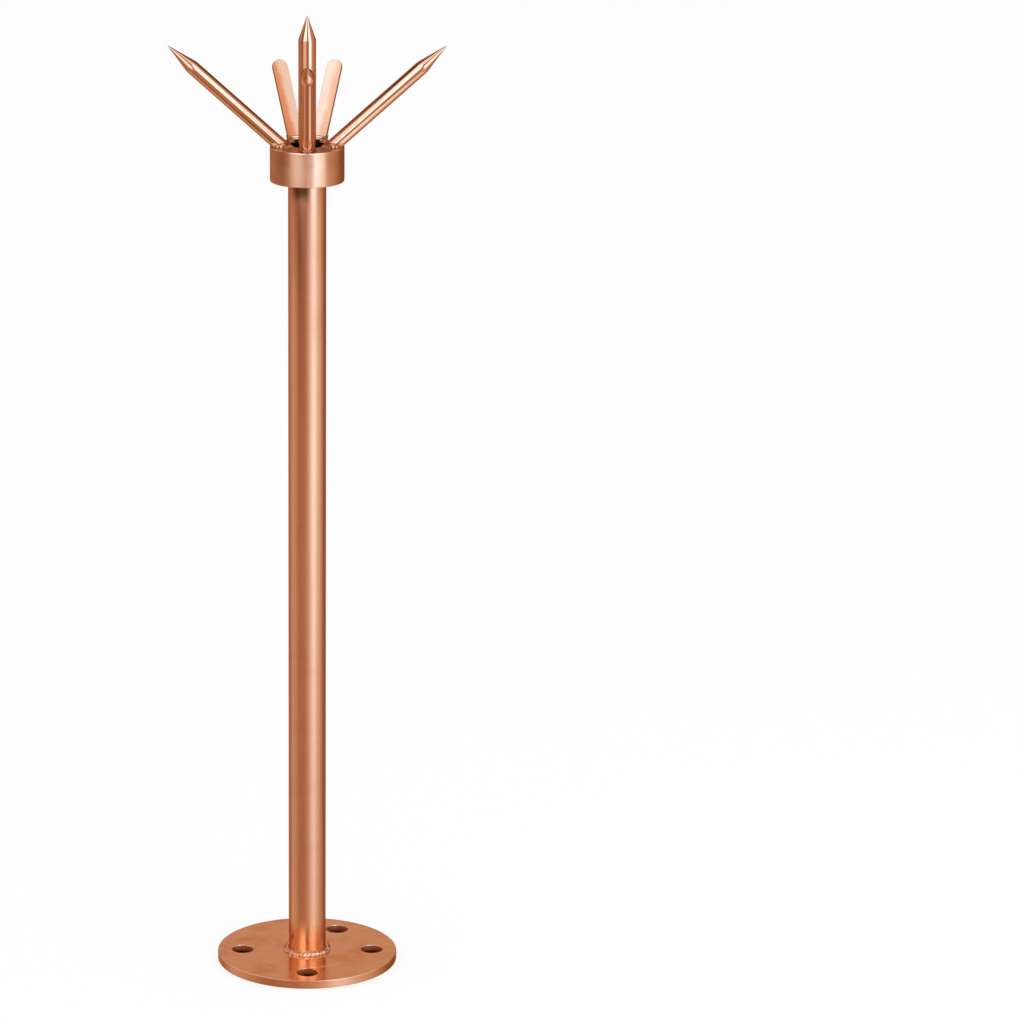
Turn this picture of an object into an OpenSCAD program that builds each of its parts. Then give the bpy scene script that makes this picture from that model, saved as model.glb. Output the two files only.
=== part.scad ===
// A free-standing lightning rod: a bolted base flange, a tube mast, a turned head,
// and on the head a crown of four pointed needles and two flat strips.
// All joints are fillet welds, and each weld bead is a piece of its own.
// +Z is up, the origin is the centre of the flange's underside, and the front
// needle leans towards -Y.

/* [Base flange] */
// Outer diameter of the flange
flange_d = 184; // [170:1:260]
// Thickness of the flange
flange_t = 8.5; // [5:0.5:16]
// Chamfer along the flange's rim, top and bottom
flange_edge = 0.8; // [0.3:0.1:1.5]
// Diameter of the circle through the centres of the bolt holes
bolt_circle_d = 133; // [110:1:140]
// Diameter of a bolt hole
bolt_hole_d = 22; // [10:0.5:26]
// Chamfer at the top mouth of a bolt hole
bolt_hole_edge = 0.8; // [0.3:0.1:1.5]
// Angle from +X round to the bolt hole at the back right
back_hole_angle = 62; // [45:1:75]
// Diameter of the fine turned line that rings the flange's face inside the bolt holes
face_line_d = 107.4; // [90:0.2:108]
// Width of the turned line, which is a V groove half as deep
face_line_w = 0.4; // [0.2:0.1:1]

/* [Mast] */
// Outside diameter of the mast tube
mast_d = 38; // [30:1:48]
// Wall of the mast tube
mast_wall = 3; // [1.5:0.5:6]
// Length of mast in view between the flange and the head
mast_length = 811.5; // [300:0.5:1500]

/* [Head] */
// Outer diameter of the head
head_d = 74; // [70:1:100]
// Height of the head
head_h = 35; // [30:1:60]
// Chamfer along the head's outer edges
head_edge = 1; // [0.3:0.1:2]
// Diameter of the recess in the head's top
recess_d = 36; // [35:1:40]
// How far the recess is set back from the mast's axis, to leave land for the front needle
recess_back = 7; // [0:0.5:7.5]
// Depth of the recess
recess_depth = 18; // [10:1:22]
// Chamfer at the mouth of the recess
recess_edge = 0.6; // [0.2:0.1:1.2]
// Thickness of the web that closes the recess and carries the centre needle
web_t = 6; // [3:0.5:9]
// Clearance all round the mast in the head's socket
socket_gap = 0.1; // [0.05:0.05:0.3]

/* [Centre needle] */
// Diameter of the centre needle
centre_d = 17.5; // [12:0.5:19]
// Length of its turned point
centre_point = 24; // [12:1:50]
// Height of its tip above the head's top
centre_reach = 130.4; // [80:0.1:220]
// Diameter of the spigot that holds it in the web
spigot_d = 10; // [5:0.5:11]
// Clearance all round the spigot
spigot_gap = 0.1; // [0.05:0.05:0.3]

/* [Side needles] */
// Diameter of the left and right needles
side_d = 14; // [8:0.5:17]
// Length of their turned points
side_point = 32; // [12:1:50]
// Length of each along its axis, from the head's top to the tip
side_length = 150.3; // [80:0.1:220]
// Angle of each above the horizontal
side_rise = 42; // [35:1:70]
// Distance from the head's rim in to where each axis meets the head's top
side_inset = 11.5; // [9:0.5:14]

/* [Front needle] */
// Diameter of the front needle
front_d = 15.5; // [8:0.5:17]
// Length of its turned point
front_point = 21; // [12:1:50]
// Length along its axis, from the head's top to the tip
front_length = 150.3; // [80:0.1:220]
// Angle above the horizontal
front_rise = 43.8; // [40:0.1:70]
// Distance from the head's rim in to where its axis meets the head's top
front_inset = 15; // [11:0.5:15.5]

/* [Strips] */
// Width of a strip
strip_w = 16; // [8:0.5:19]
// Thickness of a strip
strip_t = 3; // [2:0.25:5]
// Length of a strip from the head's top to its round end
strip_length = 85.5; // [40:0.5:150]
// Angle of a strip above the horizontal
strip_rise = 59; // [50:1:85]
// Angle between a strip and straight back
strip_spread = 23.5; // [21:0.5:40]
// Distance from the head's rim in to the middle of a strip's foot
strip_inset = 9; // [8:0.5:13]

/* [Points and welds] */
// Diameter of the small flat left on each point by the turning
tip_d = 0.6; // [0.2:0.1:1.5]
// Leg of the bead between the mast and the flange
base_bead = 5.5; // [3:0.5:8]
// Leg of the bead between the mast and the head
head_bead = 3; // [1.5:0.5:5]
// Leg of the bead round the centre needle's foot
centre_bead = 3; // [1.5:0.5:4]
// How far the beads run up the left and right needles
side_bead_up = 6; // [2:0.5:8]
// How far the beads run out from the left and right needles over the head
side_bead_out = 3.4; // [1.6:0.2:4]
// How far the bead runs up the front needle
front_bead_up = 4.5; // [1.5:0.5:6]
// How far the bead runs out from the front needle over the head
front_bead_out = 1.5; // [1.5:0.5:3]
// How far the beads run up the strips
strip_bead_up = 5.5; // [2:0.5:8]
// How far the beads run out from the strips' broad faces over the head
strip_bead_out = 3.5; // [2:0.5:4]
// How far the beads run out from the strips' narrow sides
strip_bead_side = 1.2; // [1:0.1:3]
// Distance along a bead from one ripple to the next
ripple_pitch = 4.5; // [2.5:0.5:8]
// Depth of the dip between two ripples
ripple_depth = 0.6; // [0.2:0.1:1]

/* [Hidden] */

copper = [0.80, 0.52, 0.38];
pale_copper = [0.90, 0.66, 0.53];
weld_copper = [0.86, 0.60, 0.47];

// Facets of a full circle, and stations from one ripple of a bead to the next
round_fn = 96;
ripple_steps = 4;
// Corners between the two toes of a bead's section
toe_steps = 4;
// How flat a bead's face is: 1 is a quarter circle and 2 a straight chamfer
bead_flatness = 1.4;
// How far a bead's blank runs into the piece that it is then cut by
bead_root = 1;
// How far inside that piece the arc of the bead's face is centred
toe_sink = 0.1;
// Corner radius of the path round a strip's foot, as a share of half its thickness, and
// how far the bead's blank runs into the strip, as a share of that radius
strip_corner = 0.8;
strip_root = 0.7;
// How far a cutting solid runs past what it cuts
over = 1;

head_bottom = flange_t + mast_length;
head_top = head_bottom + head_h;
recess_floor = head_top - recess_depth;
socket_depth = head_h - recess_depth - web_t;
// Radius of the head's top that is flat, inside the rim's chamfer
land_r = head_d / 2 - head_edge;
// Angles round the mast from +X, which the bolt holes and the needles share
left_angle = 180;
right_angle = 0;
front_angle = 270;
bolt_angles = [left_angle, right_angle, front_angle, back_hole_angle];
left_strip_angle = 90 + strip_spread;
right_strip_angle = 90 - strip_spread;

function unit(v) = v / norm(v);

// How far a bead stands out at each share s of its run: 0 in a dip, 1 on a ripple
function ripple(s, count) = pow(abs(sin(180 * count * s)), 0.7);

// Number of ripples on a run of a given length
function ripples_on(run) = max(8, round(run / ripple_pitch));

// Stations of a bead round an ellipse with half axes a and b.
// A station is a point on the foot's edge, the direction out from it, the ripple there, and
// the share of the bead's full run outwards that it has there.
function round_stations(a, b, count) = [
    for (j = [0 : count * ripple_steps - 1])
        let (s = j / (count * ripple_steps), t = 360 * s)
            [[a * cos(t), b * sin(t), 0], unit([b * cos(t), a * sin(t), 0]), ripple(s, count), 1]
];

// Points round a rectangle with half sides a and b and round corners, as [point, direction out].
function corner_points(a, b, r, quarter) = [
    for (t = [0 : 22.5 : 90])
        let (
            out = [cos(quarter * 90 + t), sin(quarter * 90 + t), 0],
            mid = [(quarter % 3 == 0 ? 1 : -1) * (a - r), (quarter < 2 ? 1 : -1) * (b - r), 0]
        )
            [mid + r * out, out]
];
function side_points(from, to, step) =
    let (n = max(1, round(norm(to[0] - from[0]) / step)))
        [for (k = [1 : 1 : n - 1]) [from[0] + (to[0] - from[0]) * k / n, from[1]]];
function outline_points(a, b, r, step) =
    let (corners = [for (q = [0 : 3]) corner_points(a, b, r, q)])
        [
            for (q = [0 : 3])
                each concat(corners[q], side_points(corners[q][4], corners[(q + 1) % 4][0], step))
        ];
// Stations of a bead round that rectangle, with less run on its narrow sides
function outline_stations(a, b, r, step, count, side_share) =
    let (points = outline_points(a, b, r, step), n = len(points))
        [
            for (j = [0 : n - 1])
                let (out = points[j][1], share = side_share + (1 - side_share) * pow(abs(out[0]), 2))
                    [points[j][0], out, ripple(j / n, count), share]
        ];

// One section of a bead: from its root inside the piece, out over the ground to the first
// toe, along the face to the second toe, and back. The second toe lies in the direction up.
function bead_section(station, up, leg_out, leg_up, root) =
    let (
        out = station[1],
        dip = ripple_depth * (1 - station[2]),
        middle = station[0] - toe_sink * out,
        reach_out = (leg_out * station[3] + toe_sink - dip) * out,
        reach_up = (leg_up - dip) * up
    )
        concat(
            [station[0] - root * out],
            [
                for (k = [0 : toe_steps])
                    let (t = 90 * k / toe_steps)
                        middle + pow(cos(t), bead_flatness) * reach_out
                            + pow(sin(t), bead_flatness) * reach_up
            ],
            [station[0] + reach_up - root * out]
        );

// A closed bead swept through its stations
module bead(stations, up, leg_out, leg_up, root = bead_root) {
    n = len(stations);
    m = toe_steps + 3;
    points = [for (s = stations) each bead_section(s, up, leg_out, leg_up, root)];
    faces = [
        for (j = [0 : n - 1], i = [0 : m - 1])
            let (
                here = j * m,
                there = ((j + 1) % n) * m,
                k = (i + 1) % m
            )
                each [[here + i, here + k, there + i], [here + k, there + k, there + i]]
    ];
    polyhedron(points, faces);
}

// A bead round an upright shaft of diameter d, standing on z = 0
module upright_bead(d, leg)
    difference() {
        bead(round_stations(d / 2, d / 2, ripples_on(PI * (d + leg))), [0, 0, 1], leg, leg);
        translate([0, 0, -over]) cylinder(d = d, h = leg + 2 * over, $fn = round_fn);
    }

// Puts what stands on the origin on the head's top: leaning outwards
module lean_out(angle, inset, rise)
    translate([(head_d / 2 - inset) * cos(angle), (head_d / 2 - inset) * sin(angle), head_top])
        rotate([0, 90 - rise, angle])
            children();

// Puts what lies round a leaning piece's foot on the head's top
module lie_round(angle, inset)
    translate([(head_d / 2 - inset) * cos(angle), (head_d / 2 - inset) * sin(angle), head_top])
        rotate([0, 0, angle])
            children();

// The space under the plane of the head's top, which mitres the leaning pieces' feet
module under_head_top()
    translate([-head_d, -head_d, head_top - head_h])
        cube([2 * head_d, 2 * head_d, head_h]);

// The head's flat top round the recess, which a foot's bead may stand on
module land(height)
    translate([0, 0, head_top - over])
        difference() {
            cylinder(r = land_r, h = height + over, $fn = round_fn);
            translate([0, recess_back, -over])
                cylinder(d = recess_d + 2 * recess_edge, h = height + 3 * over, $fn = round_fn);
        }

// The recess in the head, from its floor up, and its chamfered mouth
module recess()
    translate([0, recess_back, recess_floor]) {
        cylinder(d = recess_d, h = recess_depth + over, $fn = 2 * round_fn);
        translate([0, 0, recess_depth - recess_edge])
            cylinder(
                d1 = recess_d,
                d2 = recess_d + 4 * recess_edge,
                h = 2 * recess_edge,
                $fn = 2 * round_fn
            );
    }

// How far a shaft has to start below its foot's plane, so that the mitre cuts it all round
function mitre_start(thick, rise) = -thick / 2 / tan(rise) - over;

// A leaning needle: a bar with a turned point and a mitred foot
module leaning_needle(angle, d, point, length, rise, inset)
    difference() {
        lean_out(angle, inset, rise)
            rotate_extrude($fn = round_fn)
                polygon([
                    [0, mitre_start(d, rise)],
                    [d / 2, mitre_start(d, rise)],
                    [d / 2, length - point],
                    [tip_d / 2, length],
                    [0, length],
                ]);
        under_head_top();
    }

// The weld bead round a leaning needle's foot, which is an ellipse
module needle_bead(angle, d, rise, inset, leg_out, leg_up)
    difference() {
        intersection() {
            lie_round(angle, inset)
                bead(
                    round_stations(d / 2 / sin(rise), d / 2, ripples_on(PI * d)),
                    [cos(rise), 0, sin(rise)],
                    leg_out,
                    leg_up
                );
            land(leg_up);
        }
        lean_out(angle, inset, rise)
            translate([0, 0, mitre_start(d, rise)])
                cylinder(
                    d = d,
                    h = leg_up + 2 * over - 2 * mitre_start(d, rise),
                    $fn = round_fn
                );
    }

// A flat strip with a full-round top, standing on its mitred foot
module strip_outline()
    union() {
        translate([-strip_w / 2, mitre_start(strip_t, strip_rise)])
            square([strip_w, strip_length - strip_w / 2 - mitre_start(strip_t, strip_rise)]);
        translate([0, strip_length - strip_w / 2])
            circle(d = strip_w, $fn = round_fn);
    }

module leaning_strip(angle)
    difference() {
        lean_out(angle, strip_inset, strip_rise)
            rotate([90, 0, 90])
                translate([0, 0, -strip_t / 2])
                    linear_extrude(strip_t)
                        strip_outline();
        under_head_top();
    }

module strip_bead_ring(angle) {
    half_t = strip_t / 2 / sin(strip_rise);
    corner = strip_corner * half_t;
    difference() {
        intersection() {
            lie_round(angle, strip_inset)
                bead(
                    outline_stations(
                        half_t,
                        strip_w / 2,
                        corner,
                        ripple_pitch / ripple_steps,
                        ripples_on(2 * (strip_w + strip_t)),
                        strip_bead_side / strip_bead_out
                    ),
                    [cos(strip_rise), 0, sin(strip_rise)],
                    strip_bead_out,
                    strip_bead_up,
                    strip_root * corner
                );
            land(strip_bead_up);
        }
        lean_out(angle, strip_inset, strip_rise)
            translate([-strip_t / 2, -strip_w / 2, mitre_start(strip_t, strip_rise)])
                cube([
                    strip_t,
                    strip_w,
                    strip_bead_up + 2 * over - 2 * mitre_start(strip_t, strip_rise),
                ]);
    }
}

// Round plate with four bolt holes: left, right, front, and one at the back right
module base_flange()
    color(copper)
        difference() {
            rotate_extrude($fn = 2 * round_fn)
                polygon([
                    [0, 0],
                    [flange_d / 2 - flange_edge, 0],
                    [flange_d / 2, flange_edge],
                    [flange_d / 2, flange_t - flange_edge],
                    [flange_d / 2 - flange_edge, flange_t],
                    [face_line_d / 2 + face_line_w / 2, flange_t],
                    [face_line_d / 2, flange_t - face_line_w / 2],
                    [face_line_d / 2 - face_line_w / 2, flange_t],
                    [0, flange_t],
                ]);
            for (a = bolt_angles)
                rotate([0, 0, a])
                    translate([bolt_circle_d / 2, 0, 0]) {
                        translate([0, 0, -over])
                            cylinder(d = bolt_hole_d, h = flange_t + 2 * over, $fn = round_fn);
                        translate([0, 0, flange_t - bolt_hole_edge])
                            cylinder(
                                d1 = bolt_hole_d,
                                d2 = bolt_hole_d + 4 * bolt_hole_edge,
                                h = 2 * bolt_hole_edge,
                                $fn = round_fn
                            );
                    }
        }

// Rippled fillet that joins the mast to the flange
module base_weld()
    color(weld_copper)
        translate([0, 0, flange_t])
            upright_bead(mast_d, base_bead);

// Tube that stands on the flange and ends in the head's socket, against the web
module mast()
    color(copper)
        translate([0, 0, flange_t])
            difference() {
                cylinder(d = mast_d, h = mast_length + socket_depth, $fn = round_fn);
                translate([0, 0, -over])
                    cylinder(
                        d = mast_d - 2 * mast_wall,
                        h = mast_length + socket_depth + 2 * over,
                        $fn = round_fn
                    );
            }

// Rippled fillet under the head
module head_weld()
    color(weld_copper)
        translate([0, 0, head_bottom])
            mirror([0, 0, 1])
                upright_bead(mast_d, head_bead);

// Turned drum: a recess on top, a socket for the mast below, and a web between them
module head()
    color(copper)
        difference() {
            translate([0, 0, head_bottom])
                rotate_extrude($fn = 2 * round_fn)
                    polygon([
                        [mast_d / 2 + socket_gap, 0],
                        [head_d / 2 - head_edge, 0],
                        [head_d / 2, head_edge],
                        [head_d / 2, head_h - head_edge],
                        [head_d / 2 - head_edge, head_h],
                        [spigot_d / 2 + spigot_gap, head_h],
                        [spigot_d / 2 + spigot_gap, socket_depth],
                        [mast_d / 2 + socket_gap, socket_depth],
                    ]);
            recess();
        }

// Upright needle: its shoulder stands on the recess floor and its spigot fills the web
module centre_needle()
    color(copper)
        rotate_extrude($fn = round_fn)
            polygon([
                [0, recess_floor - web_t],
                [spigot_d / 2, recess_floor - web_t],
                [spigot_d / 2, recess_floor],
                [centre_d / 2, recess_floor],
                [centre_d / 2, head_top + centre_reach - centre_point],
                [tip_d / 2, head_top + centre_reach],
                [0, head_top + centre_reach],
            ]);

// Fillet round the centre needle's foot, cut off where it meets the recess's near wall
module centre_needle_weld()
    color(weld_copper)
        intersection() {
            translate([0, 0, recess_floor])
                upright_bead(centre_d, centre_bead);
            recess();
        }

module left_needle()
    color(copper)
        leaning_needle(left_angle, side_d, side_point, side_length, side_rise, side_inset);

module left_needle_weld()
    color(weld_copper)
        needle_bead(left_angle, side_d, side_rise, side_inset, side_bead_out, side_bead_up);

module right_needle()
    color(copper)
        leaning_needle(right_angle, side_d, side_point, side_length, side_rise, side_inset);

module right_needle_weld()
    color(weld_copper)
        needle_bead(right_angle, side_d, side_rise, side_inset, side_bead_out, side_bead_up);

module front_needle()
    color(copper)
        leaning_needle(front_angle, front_d, front_point, front_length, front_rise, front_inset);

module front_needle_weld()
    color(weld_copper)
        needle_bead(front_angle, front_d, front_rise, front_inset, front_bead_out, front_bead_up);

module left_strip()
    color(pale_copper)
        leaning_strip(left_strip_angle);

module left_strip_weld()
    color(weld_copper)
        strip_bead_ring(left_strip_angle);

module right_strip()
    color(pale_copper)
        leaning_strip(right_strip_angle);

module right_strip_weld()
    color(weld_copper)
        strip_bead_ring(right_strip_angle);

base_flange();
base_weld();
mast();
head_weld();
head();
centre_needle();
centre_needle_weld();
left_needle();
left_needle_weld();
right_needle();
right_needle_weld();
front_needle();
front_needle_weld();
left_strip();
left_strip_weld();
right_strip();
right_strip_weld();
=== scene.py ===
# %% [markdown]
# # A copper lightning rod
# The rod stands on a round flange, carries a turned head on a tube mast, and ends in a
# crown of four pointed needles and two flat strips. Everything is copper and everything
# is welded, so the lesson is about two things: turned and bent shapes with crisp edges,
# and a metal that is only as good as what it reflects.
#
# The solids come from the CAD pack. They are loaded first and never changed. Each piece
# below is modelled again with finer edges at the same place, and stands in for its solid.

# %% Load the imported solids
import math
import random

import bpy
from mathutils import Matrix, Vector


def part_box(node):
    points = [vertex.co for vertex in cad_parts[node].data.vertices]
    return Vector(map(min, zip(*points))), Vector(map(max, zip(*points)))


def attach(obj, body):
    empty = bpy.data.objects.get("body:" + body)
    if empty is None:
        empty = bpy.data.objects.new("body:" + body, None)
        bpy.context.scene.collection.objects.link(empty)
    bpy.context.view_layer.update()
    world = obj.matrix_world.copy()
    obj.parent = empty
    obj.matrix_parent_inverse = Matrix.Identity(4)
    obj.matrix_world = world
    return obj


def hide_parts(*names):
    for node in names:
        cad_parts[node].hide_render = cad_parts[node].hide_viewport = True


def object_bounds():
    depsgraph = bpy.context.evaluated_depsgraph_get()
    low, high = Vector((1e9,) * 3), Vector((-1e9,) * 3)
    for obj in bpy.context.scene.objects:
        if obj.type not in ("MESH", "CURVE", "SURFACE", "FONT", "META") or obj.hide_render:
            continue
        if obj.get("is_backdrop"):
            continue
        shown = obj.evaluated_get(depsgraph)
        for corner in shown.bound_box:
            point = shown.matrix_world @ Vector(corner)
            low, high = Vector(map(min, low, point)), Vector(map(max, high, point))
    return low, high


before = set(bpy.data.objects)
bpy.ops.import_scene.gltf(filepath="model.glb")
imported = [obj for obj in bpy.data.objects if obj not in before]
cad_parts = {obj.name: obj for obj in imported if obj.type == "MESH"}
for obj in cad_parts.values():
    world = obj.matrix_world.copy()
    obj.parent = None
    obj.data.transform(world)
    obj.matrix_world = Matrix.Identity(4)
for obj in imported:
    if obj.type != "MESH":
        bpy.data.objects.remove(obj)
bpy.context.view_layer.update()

# %% [markdown]
# ## The camera
# A camera can be placed by eye, but here its place was worked out from the two rims that
# show as ellipses, the flange's and the head's. It stands 5.1 m away and 1.95 m up and
# looks 16 degrees down through a long lens. The rod stands left of the middle of the
# frame, so the lens is shifted sideways instead of turned, which keeps the mast upright.

# %% Place the camera
CAMERA_PLACE = (0.0, -5.1051, 1.9527)
CAMERA_DOWN = math.radians(16.11)
CAMERA_SHIFT = 0.2
CAMERA_LENS = 185.29

bpy.ops.object.camera_add(location=CAMERA_PLACE, rotation=(math.pi / 2 - CAMERA_DOWN, 0, 0))
camera = bpy.context.object
camera.name = "camera"
camera.data.lens = CAMERA_LENS
camera.data.sensor_width = 36.0
camera.data.shift_x = CAMERA_SHIFT
bpy.context.scene.camera = camera
bpy.context.scene.view_settings.view_transform = "Standard"
print("camera looks down", round(math.degrees(CAMERA_DOWN), 2), "degrees")

# %% [markdown]
# ## Hand tools
# Blender's operators act on what is selected and active, so the first helpers select one
# object and step in and out of edit mode. Loading leaves the solids selected, which is
# why everything is deselected before anything is added.

# %% Helpers for selecting and finishing
MM = 0.001
DOUBLED = 0.001 * MM


def only(obj):
    """Select this object alone and make it the active one."""
    bpy.ops.object.select_all(action="DESELECT")
    obj.select_set(True)
    bpy.context.view_layer.objects.active = obj


def edit(obj):
    """Go into edit mode on this object, with all of it selected."""
    only(obj)
    bpy.ops.object.mode_set(mode="EDIT")
    bpy.ops.mesh.select_all(action="SELECT")


def leave_edit():
    bpy.ops.object.mode_set(mode="OBJECT")


def apply_modifier(obj, kind, **settings):
    """Add a modifier, set it, and apply it to the mesh."""
    only(obj)
    modifier = obj.modifiers.new(kind.lower(), kind)
    for key, value in settings.items():
        setattr(modifier, key, value)
    bpy.ops.object.modifier_apply(modifier=modifier.name)


def shade(obj, angle=30):
    """Smooth shading, with edges sharper than the angle left sharp, and flats kept flat."""
    only(obj)
    bpy.ops.object.shade_smooth_by_angle(angle=math.radians(angle))
    apply_modifier(obj, "WEIGHTED_NORMAL", keep_sharp=True, weight=100)


def close_up(obj):
    """Merge doubled points and turn every face outwards."""
    edit(obj)
    bpy.ops.mesh.remove_doubles(threshold=DOUBLED)
    bpy.ops.mesh.normals_make_consistent(inside=False)
    leave_edit()


def copy_of(obj):
    """A copy with a mesh of its own."""
    twin = obj.copy()
    twin.data = obj.data.copy()
    bpy.context.collection.objects.link(twin)
    return twin


def turned_by(angle, axis="Z"):
    """A turn by this many degrees."""
    return Matrix.Rotation(math.radians(angle), 4, axis)


def moved_by(x, y, z):
    """A move by these distances in mm."""
    return Matrix.Translation((x * MM, y * MM, z * MM))


def put(obj, matrix):
    """Move a finished shape to its place and write the place into its mesh."""
    obj.matrix_world = matrix
    only(obj)
    bpy.ops.object.transform_apply(location=True, rotation=True, scale=True)


def cut(obj, cutter, operation="DIFFERENCE"):
    """Cut with another solid, which is then thrown away."""
    apply_modifier(obj, "BOOLEAN", operation=operation, object=cutter, solver="EXACT")
    bpy.data.objects.remove(cutter)


def stand_in(obj, node, material):
    """Give a finished piece its finish, and let it stand for its solid."""
    obj.data.materials.clear()
    obj.data.materials.append(material)
    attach(obj, "root")
    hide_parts(node)
    low = [min(v.co[i] for v in obj.data.vertices) for i in range(3)]
    high = [max(v.co[i] for v in obj.data.vertices) for i in range(3)]
    node_low, node_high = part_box(node)
    off = max(max(abs(low[i] - node_low[i]), abs(high[i] - node_high[i])) for i in range(3))
    print(obj.name, "triangles", sum(len(p.vertices) - 2 for p in obj.data.polygons),
          "differs from its solid's box by", round(off / MM, 2), "mm at most")


# %% [markdown]
# ## Node trees
# Finishes, sky and screen are all made of nodes. They could be wired by hand in the shader
# editor, where a picture of the tree helps. Here the trees hold the same few groups again
# and again, so one short helper adds a node and feeds it, and the rest are built from it.

# %% Helpers for node trees
AXES = {"x": (1, 0, 0), "y": (0, 1, 0), "z": (0, 0, 1)}
LEVEL = (1, 1, 0)


class Tree:
    """The nodes of a material or a world, with short ways to add and link them."""

    def __init__(self, owner):
        owner.use_nodes = True
        self.nodes, self.links = owner.node_tree.nodes, owner.node_tree.links

    def feed(self, socket, value):
        """Link a socket to another node's socket, or set it to a constant."""
        if isinstance(value, bpy.types.NodeSocket):
            self.links.new(value, socket)
        else:
            socket.default_value = (*value, 1.0) if socket.type == "RGBA" else value

    def add(self, kind, feeds=(), **settings):
        """Add a node, set it up, and feed its sockets, given by name or by number."""
        node = self.nodes.new("ShaderNode" + kind)
        for key, value in settings.items():
            setattr(node, key, value)
        for key, value in dict(feeds).items():
            self.feed(node.inputs[key], value)
        return node

    def maths(self, operation, *values):
        return self.add("Math", enumerate(values), operation=operation).outputs["Value"]

    def vector(self, operation, *values):
        node = self.add("VectorMath", enumerate(values), operation=operation)
        return node.outputs["Value" if operation in ("DOT_PRODUCT", "LENGTH") else "Vector"]

    def product(self, first, *others):
        for other in others:
            first = self.maths("MULTIPLY", first, other)
        return first

    def step(self, value, low, high, share=1.0, kind="SMOOTHSTEP"):
        """0 at low and the share at high, whichever of the two is the larger."""
        ends = (low, high, 0.0, share) if low < high else (high, low, share, 0.0)
        feeds = dict(zip(("From Min", "From Max", "To Min", "To Max"), ends), Value=value)
        return self.add("MapRange", feeds, interpolation_type=kind).outputs["Result"]

    def mix(self, factor, first, second, kind="FLOAT"):
        """Two numbers or two colours mixed by a mask."""
        feeds = {"Factor": factor, "A": first, "B": second}
        return self.add("Mix", feeds, data_type=kind).outputs["Result"]

    def ramp(self, value, stops):
        """A ramp through (place, colour) pairs, the first of them at 0 and the last at 1."""
        node = self.add("ValToRGB", {"Fac": value})
        elements = node.color_ramp.elements
        for place, colour in stops[1:-1]:
            elements.new(place).color = (*colour, 1)
        elements[0].color, elements[-1].color = (*stops[0][1], 1), (*stops[-1][1], 1)
        return node.outputs["Color"]

    def surface(self, shader, output="Material Output"):
        """Let this shader be what shows."""
        self.feed(self.nodes[output].inputs["Surface"], shader)


def bare_material(name):
    """A material without any shader, and its tree."""
    material = bpy.data.materials.new(name)
    tree = Tree(material)
    tree.nodes.remove(tree.nodes["Principled BSDF"])
    return material, tree


# %% [markdown]
# ## How a turned piece is made
# Flange, mast, head and needles all come off a lathe. They could be stacked from
# cylinders, but every step would then leave an edge to clean. It is simpler to do what
# the lathe does: draw half the section as a chain of points, round its corners, and spin
# it once round the axis.

# %% Helpers for turned pieces
def draw_section(name, points):
    """Draw a chain of edges in the x-z plane by extruding one point after another."""
    bpy.ops.mesh.primitive_plane_add(size=MM)
    obj = bpy.context.object
    obj.name = obj.data.name = name
    bpy.ops.object.mode_set(mode="EDIT")
    bpy.ops.mesh.merge(type="CENTER")
    bpy.ops.transform.translate(value=(points[0][0], 0, points[0][1]))
    for (x0, z0), (x1, z1) in zip(points, points[1:]):
        bpy.ops.mesh.extrude_region_move(TRANSFORM_OT_translate={"value": (x1 - x0, 0, z1 - z0)})
    leave_edit()
    return obj


def pick_points(obj, wanted):
    """Select the points of a mesh for which wanted(place) is true."""
    leave_edit()
    for p in obj.data.polygons:
        p.select = False
    for e in obj.data.edges:
        e.select = False
    for v in obj.data.vertices:
        v.select = bool(wanted(v.co))
    bpy.ops.object.mode_set(mode="EDIT")
    bpy.ops.mesh.select_mode(type="VERT")


def round_section(obj, corners, radius):
    """Round the named corners of a drawn section."""
    only(obj)
    near = 0.01 * MM
    pick_points(obj, lambda co: any(
        abs(co.x - x) < near and abs(co.z - z) < near for x, z in corners))
    bpy.ops.mesh.bevel(offset=radius, segments=4, profile=0.5, affect="VERTICES")
    leave_edit()


def spin(obj, steps, angle=2 * math.pi):
    """Spin the section round the z axis."""
    edit(obj)
    bpy.ops.mesh.spin(steps=steps, angle=angle, center=(0, 0, 0), axis=(0, 0, 1))
    leave_edit()


def turn(name, points, rounds=(), steps=128):
    """A turned piece from its half section. Rounds lists (corners, radius) in mm. The seam
    and the poles are closed."""
    obj = draw_section(name, [(x * MM, z * MM) for x, z in points])
    for corners, radius in rounds:
        round_section(obj, [(x * MM, z * MM) for x, z in corners], radius * MM)
    spin(obj, steps)
    close_up(obj)
    return obj


def turned_block(name, inner, outer, low, high, steps=128):
    """A plain turned ring, or a solid block where the inner radius is 0."""
    points = [(inner, low), (outer, low), (outer, high), (inner, high)]
    return turn(name, points + points[:1] if inner else points, steps=steps)


def flared_bore(name, radius, floor, mouth, edge, steps, height=2):
    """A tool for a bore with a soft lip: a plug that flares at the mouth and stands out of it."""
    lip = [(radius + edge * (1 - math.sin(t)), mouth - edge * (1 - math.cos(t)))
           for t in [math.radians(a) for a in range(90, -1, -15)]]
    return turn(name, [(0, floor), (radius, floor)] + lip
                + [(radius + edge, mouth + height), (0, mouth + height)], steps=steps)


# %% [markdown]
# ## Sizes
# All sizes are in millimetres and are the same as in the solids, so that each new piece
# lies where its solid lies. The check after each piece prints how far the two boxes differ.

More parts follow.
